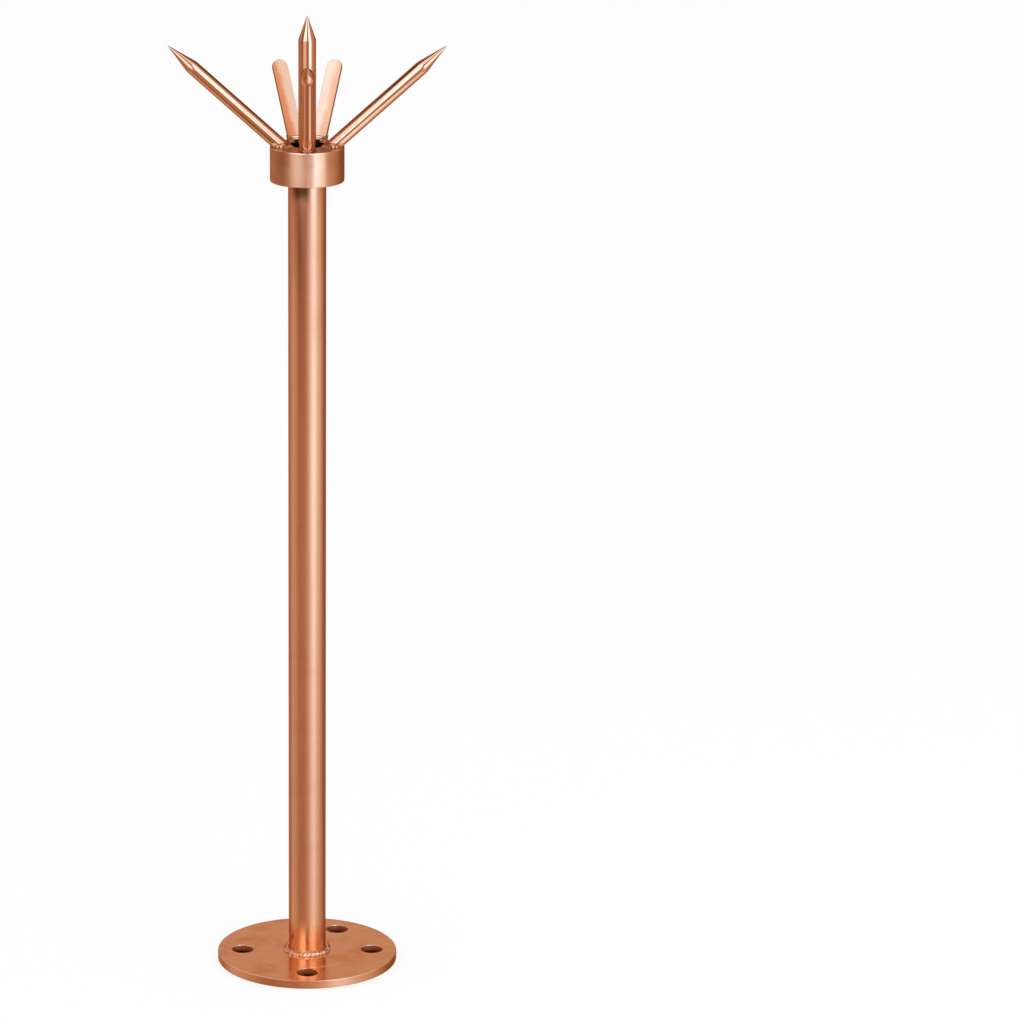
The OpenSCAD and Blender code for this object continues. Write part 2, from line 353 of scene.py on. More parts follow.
# %% Sizes in millimetres
FLANGE_D, FLANGE_T, FLANGE_EDGE = 184, 8.5, 0.8
BOLT_CIRCLE_D, BOLT_HOLE_D, BOLT_HOLE_EDGE = 133, 22, 0.8
BOLT_ANGLES = (180, 0, 270, 62)
FACE_LINE_D, FACE_LINE_W = 107.4, 0.4
MAST_D, MAST_WALL, MAST_LENGTH = 38, 3, 811.5
HEAD_D, HEAD_H, HEAD_EDGE = 74, 35, 1.0
RECESS_D, RECESS_BACK, RECESS_DEPTH, RECESS_EDGE, WEB_T, SOCKET_GAP = 36, 7, 18, 0.6, 6, 0.1
CENTRE_D, CENTRE_POINT, CENTRE_REACH, SPIGOT_D, SPIGOT_GAP = 17.5, 24, 130.4, 10, 0.1
SIDE_D, SIDE_POINT, SIDE_LENGTH, SIDE_RISE, SIDE_INSET = 14, 32, 150.3, 42, 11.5
FRONT_D, FRONT_POINT, FRONT_LENGTH, FRONT_RISE, FRONT_INSET = 15.5, 21, 150.3, 43.8, 15
STRIP_W, STRIP_T, STRIP_LENGTH, STRIP_RISE, STRIP_SPREAD, STRIP_INSET = 16, 3, 85.5, 59, 23.5, 9
TIP_D = 0.6
BASE_BEAD, HEAD_BEAD, CENTRE_BEAD = 5.5, 3, 3
SIDE_BEAD_UP, SIDE_BEAD_OUT, FRONT_BEAD_UP, FRONT_BEAD_OUT = 6, 3.4, 4.5, 1.5
STRIP_BEAD_UP, STRIP_BEAD_OUT, STRIP_BEAD_SIDE = 5.5, 3.5, 1.2

HEAD_BOTTOM = FLANGE_T + MAST_LENGTH
HEAD_TOP = HEAD_BOTTOM + HEAD_H
RECESS_FLOOR = HEAD_TOP - RECESS_DEPTH
SOCKET_TOP = HEAD_BOTTOM + HEAD_H - RECESS_DEPTH - WEB_T
LAND_R = HEAD_D / 2 - HEAD_EDGE
ROUND_STEPS, NEEDLE_STEPS = 192, 96
print("the head's top is at", HEAD_TOP, "mm, the centre needle's tip at", HEAD_TOP + CENTRE_REACH)

# %% [markdown]
# ## Copper
# Bare copper has no colour of its own apart from what it reflects: the metal takes the
# light of its surroundings and keeps most of the red, half of the green and a quarter of
# the blue. One helper makes the finish, with three things laid over it: soft stains that
# change the colour, patches that are rubbed duller or brighter, and a fine relief that
# makes the edges of reflections waver. Each piece then gets its own grain and its own gloss.
#
# A piece also has zones. Heat leaves the copper deeper and redder beside a weld, and a
# drilled wall is rougher than a turned face. Many zones also paint light and shade into the
# colour: highlights along edges, shade in hollows and under the head, and reflection bands.
# A zone is a soft mask over the object's own coordinates, in millimetres, that pulls the
# colour and the gloss its way.

# %% The copper finish
COPPER = (0.82, 0.40, 0.24)
DEEP = (0.70, 0.27, 0.13)
# Pale copper painted along edges as a highlight
PAINTED_HIGHLIGHT = (0.95, 0.60, 0.42)
GLANCING = (0.85, 0.62, 0.48)
GRAIN_SCALE = 400.0


class Finish(Tree):
    """Bare copper: colour with stains, gloss with rubbed patches, and two sizes of relief."""

    def __init__(self, name, colour=COPPER, roughness=0.2, rough_spread=0.05, stain=DEEP,
                 stain_scale=18.0, stain_range=(0.52, 0.75), stain_share=0.5, grain=(1, 1, 1),
                 relief=0.00001, wave_scale=40.0, wave=0.00005):
        self.material = bpy.data.materials.new(name)
        super().__init__(self.material)
        self.place = self.add("TexCoord").outputs["Object"]

        stains = self.step(self.noise(stain_scale, 5, distortion=0.6), *stain_range,
                           share=stain_share)
        mottle = self.step(self.noise(stain_scale * 6, 3), 0.35, 0.7, share=0.16)
        stained = self.mix(stains, colour, stain, "RGBA")
        self.colour = self.mix(mottle, stained, tuple(c * 0.86 for c in colour), "RGBA")
        rubbed = self.step(self.noise(GRAIN_SCALE * 0.2, 4, grain), 0.3, 0.7)
        self.gloss = self.mix(rubbed, roughness - rough_spread, roughness + rough_spread)
        fine = self.add("Bump", {"Distance": relief, "Height": self.noise(GRAIN_SCALE, 3, grain)})
        self.broad = self.add("Bump", {
            "Distance": wave, "Height": self.noise(wave_scale, 2, grain),
            "Normal": fine.outputs["Normal"]})

    def noise(self, scale, detail, stretch=(1, 1, 1), distortion=0.0):
        place = self.add("Mapping", {"Vector": self.place, "Scale": stretch}).outputs["Vector"]
        feeds = {"Vector": place, "Scale": scale, "Detail": detail, "Distortion": distortion}
        return self.add("TexNoise", feeds).outputs["Fac"]

    def measure(self, what):
        """A distance in mm from the object's own coordinates: along x, y, z or a given
        direction, or the radius from the mast's axis."""
        if what == "radius":
            found = self.vector("LENGTH", self.vector("MULTIPLY", self.place, LEVEL))
        else:
            found = self.vector("DOT_PRODUCT", self.place, AXES.get(what, what))
        return self.product(found, 1 / MM)

    def zone(self, limits, colour=None, gloss=None, share=1.0, waver=0.0, waver_scale=60.0):
        """Pull colour and gloss where all limits (coordinate, from, to) are passed."""
        mask = share
        for what, low, high in limits:
            value = self.measure(what)
            if waver:
                swing = self.maths("SUBTRACT", self.noise(waver_scale, 3), 0.5)
                value = self.maths("ADD", value, self.product(swing, waver))
            mask = self.product(self.step(value, low, high), mask)
        if colour:
            self.colour = self.mix(mask, self.colour, colour, "RGBA")
        if gloss:
            self.gloss = self.mix(mask, self.gloss, gloss)

    def specks(self, spacing, size, colour, share=0.9):
        """Small dark pits, one in some of the cells of a pattern with this spacing in mm."""
        scale = 1 / MM / spacing
        cells = self.add("TexVoronoi", {"Vector": self.place, "Scale": scale}).outputs["Distance"]
        pit = self.step(cells, 1.2 * size / spacing, 0.8 * size / spacing, share)
        some = self.step(self.noise(scale * 0.7, 1), 0.5, 0.52)
        self.colour = self.mix(self.product(pit, some), self.colour, colour, "RGBA")

    def done(self):
        """Wire the colour, the gloss and the relief to the shader."""
        shader = self.nodes["Principled BSDF"].inputs
        for socket, value in (("Metallic", 1.0), ("Specular Tint", GLANCING),
                              ("Base Color", self.colour), ("Roughness", self.gloss),
                              ("Normal", self.broad.outputs["Normal"])):
            self.feed(shader[socket], value)
        return self.material


# %% [markdown]
# ### The finish of each piece
# The flange is satin, with a heat tint round the mast and three stains. Its holes have
# raw walls, a painted highlight on their lips and painted shade at their foot, and its rim
# carries a painted highlight line. The mast is redder at its foot, from the weld, and carries
# painted shade under the head with a painted dark reflection stripe at its front left. The
# head's face is brushed round and has four soft upright bands of painted light and shade;
# its recess is painted dark as shade and its rim carries a painted highlight line. The
# needles are polished, with painted light low at the front. The strips carry painted shade
# along their outer side. On the welds, bright drops carry painted glints, the fillets' dark
# red is partly weld colour and partly painted shade, the strips' ledges carry painted shade
# and highlights, and the base ring has painted shade on its flanks and painted light low down.

# %% Mix the finishes
def near(what, middle, low, high):
    """A limit from and to these distances past a known place."""
    return (what, middle + low, middle + high)


INSIDE_RIM = near("radius", FLANGE_D / 2, -4, -5)

look = Finish("flange_copper", stain=(0.64, 0.22, 0.09), stain_scale=30, stain_range=(0.5, 0.7),
              relief=0.000006, wave_scale=25)
look.zone([("y", 40, -90)], colour=(0.84, 0.38, 0.20), share=0.6, waver=30)
look.zone([("radius", 45, 22)], colour=(0.86, 0.38, 0.20), share=0.4, waver=12)
for x, y, share in ((-44, -58, 0.6), (38, -24, 0.55), (-47, 62, 0.35)):
    look.zone([("x", x - 16, x - 4), ("x", x + 16, x + 4), ("y", y - 20, y - 5),
               ("y", y + 20, y + 5)],
              colour=(0.70, 0.23, 0.09), share=share, waver=36, waver_scale=55)
look.zone([near("z", FLANGE_T, -0.6, -1.1), INSIDE_RIM], colour=(0.94, 0.40, 0.18), gloss=0.45)
# Painted shade: the lower part of each bolt hole's wall goes near black
look.zone([near("z", FLANGE_T, -3.3, -8.1), INSIDE_RIM], colour=(0.02, 0.006, 0.003), share=0.98,
          waver=1.6)
# Painted highlight: the bolt holes' lips, and the turned face line, are made pale and glossy
look.zone([near("z", FLANGE_T, -1.0, -0.6), near("z", FLANGE_T, -0.01, -0.1), INSIDE_RIM],
          colour=PAINTED_HIGHLIGHT, gloss=0.12)
# Painted highlight: a pale glossy line along the rim's top edge
look.zone([near("z", FLANGE_T, -0.7, -0.4), near("radius", FLANGE_D / 2, -0.8, -0.5)],
          colour=PAINTED_HIGHLIGHT, gloss=0.12)
flange_finish = look.done()

look = Finish("mast_copper", roughness=0.25, grain=(1, 1, 0.06), relief=0.000008, wave=0.0001)
look.zone([("z", 90, 20)], colour=(0.88, 0.42, 0.21), share=0.75, waver=30)
# Painted shade: the mast darkens over its top under the head
look.zone([near("z", HEAD_BOTTOM, -180, -20)], colour=(0.76, 0.34, 0.19), share=0.4, waver=30)
# Painted reflection: a dark upright stripe on the front left, below the head
look.zone([near("z", HEAD_BOTTOM, -130, -40), ("x", 2, -4), ("x", -17, -12)],
          colour=(0.50, 0.19, 0.10), share=0.55)
# Painted shadow just under the head, at the front
look.zone([near("z", HEAD_BOTTOM, -20, -8), ("x", 4, -2), ("x", -19, -9)],
          colour=(0.12, 0.04, 0.02), share=0.9)
# Painted shade: a dark ring right under the head
look.zone([near("z", HEAD_BOTTOM, -5, -1)], colour=(0.22, 0.08, 0.04), share=0.9)
mast_finish = look.done()

look = Finish("head_copper", colour=(0.87, 0.44, 0.27), roughness=0.3, grain=(0.15, 0.15, 1),
              relief=0.000008, wave=0.00004)
# Painted light and shade: four upright bands on the head's front, dark, light, bright and dark
# from left to right, stand in for reflections
for low, full, fading, gone, colour, share in (
    (-34, -29, -25, -20, (0.52, 0.23, 0.12), 0.65),
    (-22, -16, -10, -4, (0.93, 0.48, 0.29), 0.6),
    (-3, 2, 6, 12, (1.0, 0.58, 0.38), 0.85),
    (8, 14, 40, 50, (0.68, 0.28, 0.14), 0.75),
):
    look.zone([("x", low, full), ("x", gone, fading), ("y", 0, -8)], colour=colour, share=share)
look.specks(spacing=6, size=0.55, colour=(0.20, 0.07, 0.03))
look.zone([near("z", HEAD_TOP, -0.4, -0.1), near("radius", HEAD_D / 2, -0.8, -1.2)],
          colour=(0.80, 0.43, 0.25), gloss=0.28, share=0.9)
# Painted shade: the recess is near black inside
look.zone([near("z", HEAD_TOP, -0.3, -1.8), near("radius", HEAD_D / 2, -4, -7)],
          colour=(0.04, 0.012, 0.006), share=0.98)
# Painted shade: the recess's back lip is dark
look.zone([("y", 19, 22), near("z", HEAD_TOP, -3, -1), near("radius", HEAD_D / 2, -4, -6)],
          colour=(0.05, 0.015, 0.008), share=0.9)
# Painted highlight: a pale glossy line along the head's top edge
look.zone([near("z", HEAD_TOP, -0.9, -0.6), near("radius", HEAD_D / 2, -0.9, -0.7)],
          colour=PAINTED_HIGHLIGHT, gloss=0.12)
head_finish = look.done()

look = Finish("needle_copper", roughness=0.12, rough_spread=0.02, relief=0.0000005,
              wave=0.000005, stain_share=0.35)
# Painted light: the front needle's lowest part at the front is paler and glossier
look.zone([near("z", HEAD_TOP, 19, 11), ("y", -10, -16)], colour=(0.96, 0.66, 0.48), gloss=0.2)
needle_finish = look.done()


def strip_finish(side, angle):
    """Bright rolled copper, with painted shade along the side that lies away from the other strip
    and a painted dark line at that edge.
    """
    a = math.radians(angle)
    outwards = 1 if side == "left" else -1
    across = (-outwards * math.sin(a), outwards * math.cos(a), 0)
    falling = (*across[:2], -0.06)  # so that the deeper border widens towards the foot
    look = Finish("strip_copper_" + side, colour=(0.88, 0.48, 0.31), relief=0.000006,
                  stain_share=0.3)
    # Painted shade: the outer side is darker, more so towards the foot
    look.zone([(falling, -55.5, -49)], colour=(0.78, 0.22, 0.075),
              share=0.92 if side == "left" else 0.6, waver=7)
    # Painted shade: a thin dark line along the outer edge
    look.zone([(across, 7.4, 7.7)], colour=(0.45, 0.18, 0.09), share=0.8)
    return look.done()


def weld_look(name, colour, roughness):
    return Finish("weld_copper" + name, colour=colour, roughness=roughness, wave_scale=300)


look = weld_look("", (0.86, 0.45, 0.29), 0.18)
# Painted shade: the base ring's left and right flanks are darker
for inner, outer in ((12, 17), (-12, -17)):
    look.zone([near("z", FLANGE_T, 11.5, 7.5), ("x", inner, outer)], colour=(0.62, 0.28, 0.16),
              gloss=0.36)
# Painted light: the lower part of the base ring is made pale
look.zone([near("z", FLANGE_T, 4.3, 2.3)], colour=(0.98, 0.68, 0.52), share=0.9)
weld_finish = look.done()
# The fillets' dark red is partly weld colour and partly painted shade in the crease
fillet_painted_shade = weld_look("_fillet", (0.42, 0.145, 0.06), 0.26).done()
# Painted glints: pale glossy faces on single drops
drop_glint_finish = weld_look("_painted_glints", (0.97, 0.72, 0.55), 0.12).done()
# Painted shade and highlights: the ledge is dark, with a pale line along its top and another along
# its toe
look = weld_look("_ledge", (0.62, 0.25, 0.11), 0.24)
look.zone([near("z", HEAD_TOP, 3.3, 3.9)], colour=(0.88, 0.50, 0.33), gloss=0.15)
look.zone([near("z", HEAD_TOP, 1.2, 0.6)], colour=(0.84, 0.42, 0.26), gloss=0.18)
ledge_shade_and_highlights = look.done()
print("finishes:", len(bpy.data.materials))

# %% [markdown]
# ## The base flange
# On the real rod this is a plate, turned on its rim and face and drilled for four bolts.
# The plate is spun with its two rim edges rounded and a fine turned line on its face. The
# bolt holes are cut with a tool shape that is a drill and a countersink in one: a turned
# plug that flares at its mouth, so every hole comes out with a soft lip that can catch light.

# %% Turn and drill the flange
flange_r = FLANGE_D / 2
line_r, line_half = FACE_LINE_D / 2, FACE_LINE_W / 2
flange = turn(
    "flange",
    [(0, 0), (flange_r, 0), (flange_r, FLANGE_T), (line_r + line_half, FLANGE_T),
     (line_r, FLANGE_T - line_half), (line_r - line_half, FLANGE_T), (0, FLANGE_T)],
    [([(flange_r, 0), (flange_r, FLANGE_T)], FLANGE_EDGE)],
    steps=256,
)
# The flat faces are made whole again, so that the holes cut them cleanly
edit(flange)
bpy.ops.mesh.dissolve_limited(angle_limit=math.radians(0.2))
leave_edit()
drill = flared_bore("drill", BOLT_HOLE_D / 2, -2, FLANGE_T, BOLT_HOLE_EDGE, steps=96)
for angle in BOLT_ANGLES:
    tool = copy_of(drill)
    put(tool, turned_by(angle) @ moved_by(BOLT_CIRCLE_D / 2, 0, 0))
    cut(flange, tool)
bpy.data.objects.remove(drill)
shade(flange)
stand_in(flange, "base_flange", flange_finish)

# %% [markdown]
# ## The mast
# A drawn tube. Its two ends are hidden in the welds and in the head's socket, so what
# shows is one plain wall, and its look depends on the finish.

# %% Turn the mast
mast_r = MAST_D / 2
mast = turned_block("mast", mast_r - MAST_WALL, mast_r, FLANGE_T, SOCKET_TOP)
shade(mast)
stand_in(mast, "mast", mast_finish)

# %% [markdown]
# ## The head
# A turned drum with a socket for the mast below and a web above it that holds the centre
# needle. The recess on top is set back from the axis, to leave land for the front needle,
# so it can't be turned with the rest: it is bored with a cutter whose mouth flares, like
# the bolt holes. The outer edges are rounded by one millimetre: the upper one catches the
# bright line that runs round the front of the head, and the finish paints a highlight there too.

# %% Turn and bore the head
head_r = HEAD_D / 2
socket_r, web_r = mast_r + SOCKET_GAP, SPIGOT_D / 2 + SPIGOT_GAP
head = turn(
    "head",
    [(socket_r, HEAD_BOTTOM), (head_r, HEAD_BOTTOM), (head_r, HEAD_TOP), (web_r, HEAD_TOP),
     (web_r, SOCKET_TOP), (socket_r, SOCKET_TOP), (socket_r, HEAD_BOTTOM)],
    [([(head_r, HEAD_BOTTOM), (head_r, HEAD_TOP)], HEAD_EDGE)],
    steps=ROUND_STEPS,
)


def recess_cutter(height=2):
    """The recess as a solid that stands out on top by this height."""
    obj = flared_bore("recess", RECESS_D / 2, RECESS_FLOOR, HEAD_TOP, RECESS_EDGE, ROUND_STEPS,
                      height)
    put(obj, moved_by(0, RECESS_BACK, 0))
    return obj


cut(head, recess_cutter())
shade(head)
stand_in(head, "head", head_finish)

# %% [markdown]
# ## The needles
# Each needle is a bar turned to a point. On the centre one the edge between bar and point
# stays crisp, as the lathe leaves it. The side ones have that shoulder eased a little. The
# front one is seen almost end on, where a crisp shoulder would break its two light lines
# off, so its point is an arch that runs out of the bar without an edge. The leaning ones
# are turned upright, tipped outwards, and then cut along the head's top with a bisecting
# plane, which gives the mitred foot.

# %% Turn the needles
SHOULDER = 3
TIP_END = 0.1
ARCH_STEPS, ARCH_SPACING = 20, 1.6
FEET = {
    "left": (180, SIDE_D, SIDE_RISE, SIDE_INSET),
    "right": (0, SIDE_D, SIDE_RISE, SIDE_INSET),
    "front": (270, FRONT_D, FRONT_RISE, FRONT_INSET),
}


def needle_section(d, start, length, point, arch=1.0, steps=1):
    """A bar and its point. An arch over 1 makes the point run smoothly out of the bar."""
    section = [(0, start), (d / 2, start)]
    for k in range(steps):
        part = (k / steps) ** ARCH_SPACING
        section.append((TIP_D / 2 + (d - TIP_D) / 2 * (1 - part ** arch),
                        length - TIP_END - (point - TIP_END) * (1 - part)))
    return section + [(TIP_D / 2, length - TIP_END), (TIP_D / 4, length), (0, length)]


def on_land(angle, inset):
    """Takes the origin to a foot's place on the head's top, and x to the outward direction."""
    return turned_by(angle) @ moved_by(head_r - inset, 0, HEAD_TOP)


def lean(angle, inset, rise):
    """Puts what stands upright on the head's top, leaning outwards."""
    return on_land(angle, inset) @ turned_by(90 - rise, "Y")


def mitre(obj):
    """Cut the foot off along the head's top and close the cut."""
    edit(obj)
    bpy.ops.mesh.bisect(plane_co=(0, 0, HEAD_TOP * MM), plane_no=(0, 0, 1), use_fill=True,
                        clear_inner=True)
    leave_edit()


centre_needle = turn(
    "needle_centre",
    [(0, SOCKET_TOP), (SPIGOT_D / 2, SOCKET_TOP), (SPIGOT_D / 2, RECESS_FLOOR)]
    + needle_section(CENTRE_D, RECESS_FLOOR, HEAD_TOP + CENTRE_REACH, CENTRE_POINT)[1:],
    steps=NEEDLE_STEPS,
)
shade(centre_needle, 8)
stand_in(centre_needle, "centre_needle", needle_finish)

for side, (angle, d, rise, inset) in FEET.items():
    if side == "front":
        section = needle_section(d, -d, FRONT_LENGTH, FRONT_POINT, arch=2.0, steps=ARCH_STEPS)
        rounds = ()
    else:
        section = needle_section(d, -d, SIDE_LENGTH, SIDE_POINT)
        rounds = [([(d / 2, SIDE_LENGTH - SIDE_POINT)], SHOULDER)]
    needle = turn("needle_" + side, section, rounds, steps=NEEDLE_STEPS)
    put(needle, lean(angle, inset, rise))
    mitre(needle)
    shade(needle, 12)
    stand_in(needle, side + "_needle", needle_finish)

# %% [markdown]
# ## The strips
# Two bars of flat copper with a full-round end stand behind the needles. A flat plate is
# extruded to the strip's outline and its long edges are rounded a little, which is what
# shows as a thin line along each side; along the outer edge a dark line is painted as shade
# as well. The foot is mitred like the needles'.

# %% Cut the strips
STRIP_EDGE = 0.35
END_STEPS = 32
STRIPS = {"left": 90 + STRIP_SPREAD, "right": 90 - STRIP_SPREAD}


def strip_blank(name):
    """An upright strip from its foot to its round end, with softened edges."""
    half, start = STRIP_W / 2, -STRIP_T
    outline = [(-half, start)]
    for k in range(END_STEPS + 1):
        t = math.pi * (1 - k / END_STEPS)
        outline.append((half * math.cos(t), STRIP_LENGTH - half + half * math.sin(t)))
    outline += [(half, start), (-half, start)]
    obj = draw_section(name, [(x * MM, z * MM) for x, z in outline])
    edit(obj)
    bpy.ops.mesh.remove_doubles(threshold=DOUBLED)
    bpy.ops.mesh.edge_face_add()
    bpy.ops.mesh.extrude_region_move(TRANSFORM_OT_translate={"value": (0, STRIP_T * MM, 0)})
    bpy.ops.mesh.select_all(action="SELECT")
    bpy.ops.transform.translate(value=(0, -STRIP_T / 2 * MM, 0))
    leave_edit()
    close_up(obj)
    apply_modifier(obj, "BEVEL", width=STRIP_EDGE * MM, segments=3, limit_method="ANGLE",
                   angle_limit=math.radians(40))
    return obj


for side, angle in STRIPS.items():
    strip = strip_blank("strip_" + side)
    put(strip, lean(angle, STRIP_INSET, STRIP_RISE) @ turned_by(90))
    mitre(strip)
    shade(strip)
    stand_in(strip, side + "_strip", strip_finish(side, angle))

# %% [markdown]
# ## The weld beads
# A weld bead is laid drop by drop: each drop freezes over the edge of the one before, so
# the bead is a row of overlapping scales. It could be a swept tube with a wavy bump, but
# the scales are what catches the light. So one drop is modelled, copied along the joint,
# and the copies are fused with a voxel remesh and smoothed a little, as melted metal is.
# Last, the bead is cut by the plane it lies on and by the bar it runs round.

# %% Helpers for weld beads
dice = random.Random(11)


def one_drop():
    """One frozen drop: a ball, pressed flat behind, that is tilted over its neighbour."""
    bpy.ops.mesh.primitive_uv_sphere_add(segments=20, ring_count=12, radius=1)
    obj = bpy.context.object
    obj.name = "drop"
    pick_points(obj, lambda co: co.y < -0.01)
    bpy.ops.transform.resize(value=(1, 0.55, 1))
    leave_edit()
    return obj


def lay_bead(name, stations, voxel, tilt, smooth, skew=0, jitter=0.06, sway=6, extra=()):
    """Copy the drop to each station (place, out, along, up, size) and fuse the copies.
    Each drop's size varies by the jitter, and its direction by the sway in degrees."""
    drop = one_drop()
    copies = list(extra)
    for place, out, along, up, size in stations:
        obj = copy_of(drop)
        sizes = [s * MM * (1 + dice.uniform(-jitter, jitter)) for s in size]
        obj.matrix_world = (
            Matrix.Translation(Vector(place) * MM)
            @ Matrix((out, along, up)).transposed().to_4x4()
            @ turned_by(skew + dice.uniform(-sway, sway))
            @ turned_by(tilt + dice.uniform(-sway, sway), "X")
            @ Matrix.Diagonal((*sizes, 1))
        )
        copies.append(obj)
    bpy.data.objects.remove(drop)
    bpy.ops.object.select_all(action="DESELECT")
    for obj in copies:
        obj.select_set(True)
    bead = copies[0]
    bpy.context.view_layer.objects.active = bead
    bpy.ops.object.join()
    bpy.ops.object.transform_apply(location=True, rotation=True, scale=True)
    bead.name = bead.data.name = name
    apply_modifier(bead, "REMESH", mode="VOXEL", voxel_size=voxel * MM)
    apply_modifier(bead, "SMOOTH", factor=0.5, iterations=smooth)
    return bead


def ring_stations(radius, height, count, size, up=(0, 0, 1), stray=0.0):
    """Stations round an upright bar, each strayed from its even place by up to this share."""
    found = []
    upward = Vector(up)
    for k in range(count):
        a = 2 * math.pi * (k + dice.uniform(-stray, stray)) / count
        out = Vector((math.cos(a), math.sin(a), 0))
        place = (radius * out.x, radius * out.y, height)
        found.append((place, out, upward.cross(out), upward, size))
    return found


def finish_bead(bead, node, finish=weld_finish, spots=(), reach=0):
    """Shade the bead, let it stand for its solid, and give the drops at the spots painted glints.
    """
    close_up(bead)
    only(bead)
    bpy.ops.object.shade_smooth_by_angle(angle=math.radians(50))
    stand_in(bead, node, finish)
    if spots:
        bead.data.materials.append(drop_glint_finish)
        for face in bead.data.polygons:
            if any((face.center - spot).length < reach * MM for spot in spots):
                face.material_index = 1
        print("bright faces:", sum(face.material_index for face in bead.data.polygons))


# %% [markdown]
# ### The beads round the mast
# The ring on the flange is a full round cord, widest a little above the plate. Its drops lie
# askew, the way a welder's hand swings, and unevenly, so the ring looks like a laid rope.
# The ring under the head is thinner, and hides behind the head's rim. The third lies in the
# recess, round the centre needle. Each is cut to the ring-shaped room between the bar and
# the plane, so that it hugs both without a gap.

# %% Weld the mast and the centre needle
HUG = 0.02  # how far a bead reaches into its bar
needle_r = CENTRE_D / 2
# Each ring: its drops' place, number and size, how far it is smoothed, how askew, its room
for name, node, stations, smooth, skew, room in (
    ("weld_base", "base_weld",
     ring_stations(mast_r + 1.9, FLANGE_T + 1.5, 46, (3.4, 3.2, 2.8), stray=0.45), 26, 40,
     (mast_r - HUG, mast_r + BASE_BEAD, FLANGE_T, FLANGE_T + BASE_BEAD)),
    ("weld_head", "head_weld",
     ring_stations(mast_r + 1.1, HEAD_BOTTOM - 0.9, 34, (1.9, 2.4, 2.0), up=(0, 0, -1)), 6, 20,
     (mast_r - HUG, mast_r + HEAD_BEAD, HEAD_BOTTOM - HEAD_BEAD, HEAD_BOTTOM)),
    ("weld_centre", "centre_needle_weld",
     ring_stations(needle_r + 1.1, RECESS_FLOOR + 0.9, 18, (1.9, 2.2, 2.0)), 6, 20,
     (needle_r - HUG, needle_r + CENTRE_BEAD, RECESS_FLOOR, RECESS_FLOOR + CENTRE_BEAD)),
):
    bead = lay_bead(name, stations, voxel=0.3, tilt=20, smooth=smooth, skew=skew, jitter=0.2,
                    sway=16)
    cut(bead, turned_block("room", *room, steps=ROUND_STEPS), "INTERSECT")
    if name == "weld_centre":
        cut(bead, recess_cutter(), "INTERSECT")
    finish_bead(bead, node)

# %% [markdown]
# ### The beads at the needles' feet
# Here the copper has run and lies as a hollow fillet, with only a few drops standing out of
# it; the fillet's dark red is partly weld colour and partly painted shade in the crease. The
# hollow is turned round an upright bar first. A level cut through a leaning bar is an ellipse
# that shifts as it rises, so stretching and slanting the turned fillet makes it fit the
# leaning bar exactly. It may stand only on the flat land between the head's rim and its
# recess, so it is cut to that land. The drops at the listed spots, a row of them at the
# front, carry painted glints.

# %% Weld the needles to the head
FILLET_STEPS = 8
FILLET_HOLLOW = 0.22
CLEAR = 20


def hollow_fillet(bar_r, leg_out, leg_up):
    """A turned fillet round an upright bar, whose face is a hollow arc."""
    face = []
    for k in range(FILLET_STEPS + 1):
        s = k / FILLET_STEPS
        sag = FILLET_HOLLOW * math.sin(math.pi * s)
        face.append((bar_r + leg_out * (1 - s) * (1 - sag), leg_up * s * (1 - sag)))
    return turn("fillet", [(bar_r - 1, 0)] + face + [(bar_r - 1, leg_up), (bar_r - 1, 0)],
                steps=NEEDLE_STEPS)


def slanted(angle, inset, rise):
    """Stretches and slants what was made round an upright bar, so that it fits a leaning one."""
    slant = math.radians(rise)
    stretch = Matrix.Identity(4)
    stretch[0][0] = 1 / math.sin(slant)
    stretch[0][2] = 1 / math.tan(slant)
    return on_land(angle, inset) @ stretch


def trim_to_land(bead):
    """Cut a foot's bead to the head's flat top, between the rim and the recess."""
    land = turned_block("land", 0, LAND_R, HEAD_TOP, HEAD_TOP + CLEAR, steps=ROUND_STEPS)
    cut(bead, land, "INTERSECT")
    cut(bead, recess_cutter(CLEAR))


def weld_foot(side, legs, count, size, off, spots, spot_r):
    """The bead round one needle's foot: a fillet, a ring of drops in it, and bright spots."""
    angle, d, rise, inset = FEET[side]
    fillet = hollow_fillet(d / 2, legs[0], legs[1] * math.sin(math.radians(rise)))
    stations = ring_stations(d / 2 + off[0], off[1], count, size, stray=0.4)
    upright = Matrix.Identity(3)
    stations += [(spot, *upright, (spot_r,) * 3) for spot in spots]
    bead = lay_bead("weld_" + side, stations, voxel=0.2, tilt=12, smooth=3, jitter=0.2, sway=12,
                    extra=[fillet])
    place = slanted(angle, inset, rise)
    bead.data.transform(place)
    trim_to_land(bead)
    bar = turned_block("bar", 0, d / 2 - HUG, -d, 3 * d, steps=NEEDLE_STEPS)
    put(bar, lean(angle, inset, rise))
    cut(bead, bar)
    finish_bead(bead, side + "_needle_weld", fillet_painted_shade,
                [place @ (Vector(spot) * MM) for spot in spots], spot_r)


SIDE_LEGS, SIDE_DROP, SIDE_OFF = (SIDE_BEAD_OUT, SIDE_BEAD_UP), (1.2, 1.9, 0.8), (0.8, 0.7)
SIDE_SPOTS = [(1.9, 9.6, 1.1), (-0.5, 9.8, 1.0)]
FRONT_SPOTS = [(math.sqrt(8.8 ** 2 - y ** 2), y, 1.8)
               for y in (-7.2, -5.1, -3.2, -0.9, 1.3, 3.6, 5.7)]
weld_foot("left", SIDE_LEGS, 6, SIDE_DROP, SIDE_OFF, SIDE_SPOTS, 1.4)
weld_foot("right", SIDE_LEGS, 6, SIDE_DROP, SIDE_OFF, [(x, -y, z) for x, y, z in SIDE_SPOTS], 1.4)
weld_foot("front", (FRONT_BEAD_OUT, FRONT_BEAD_UP), 12, (1.0, 1.6, 1.0), (0.2, 1.2),
          FRONT_SPOTS, 1.0)

